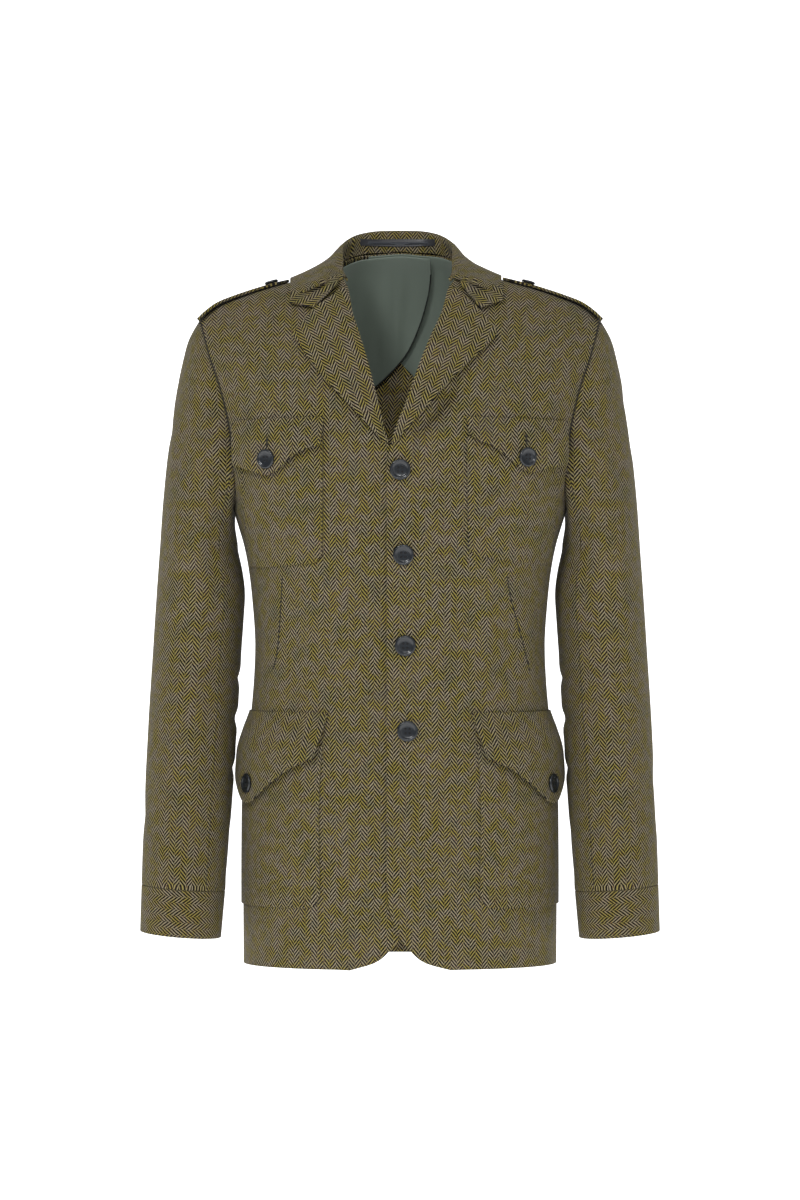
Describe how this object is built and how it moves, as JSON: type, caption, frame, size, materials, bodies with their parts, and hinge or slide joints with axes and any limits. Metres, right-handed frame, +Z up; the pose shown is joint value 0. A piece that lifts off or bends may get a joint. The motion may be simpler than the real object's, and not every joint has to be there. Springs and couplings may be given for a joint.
{
  "type": "tailored jacket",
  "caption": "Long-sleeved herringbone wool field jacket with notched lapels, buttoned front, flapped patch pockets, shoulder straps and banded cuffs, filled out as if worn.",
  "frame": {"origin": "middle of the line between the wearer's shoulders, level with the foot of the neck, where the jacket is held up", "axes": "+X to the wearer's left, which is to the right in the picture, -Y out of the front, +Z up"},
  "size_m": [0.536, 0.2509, 0.7664],
  "materials": {
    "tweed": "woven wool herringbone, matt and slightly hairy",
    "lining_satin": "satin",
    "loop_satin": "satin",
    "button": "polished"
  },
  "bodies": {
    "root": {"front_left": "tweed", "front_right": "tweed", "back": "tweed", "sleeve_top_left": "tweed", "sleeve_top_right": "tweed", "sleeve_under_left": "tweed", "sleeve_under_right": "tweed", "cuff_left": "tweed", "cuff_right": "tweed", "collar": "tweed", "lapel_left": "tweed", "lapel_right": "tweed", "back_lining_left": "lining_satin", "back_lining_right": "lining_satin", "hanger_loop": "loop_satin", "chest_pocket_left": "tweed", "chest_pocket_right": "tweed", "chest_flap_left": "tweed", "chest_flap_right": "tweed", "hip_pocket_left": "tweed", "hip_pocket_right": "tweed", "hip_flap_left": "tweed", "hip_flap_right": "tweed", "epaulette_left": "tweed", "epaulette_right": "tweed", "epaulette_button_left": "button", "epaulette_button_right": "button", "chest_button_left": "button", "chest_button_right": "button", "hip_button_left": "button", "hip_button_right": "button", "front_button_1": "button", "front_button_2": "button", "front_button_3": "button", "front_button_4": "button"}
  },
  "joints": []
}
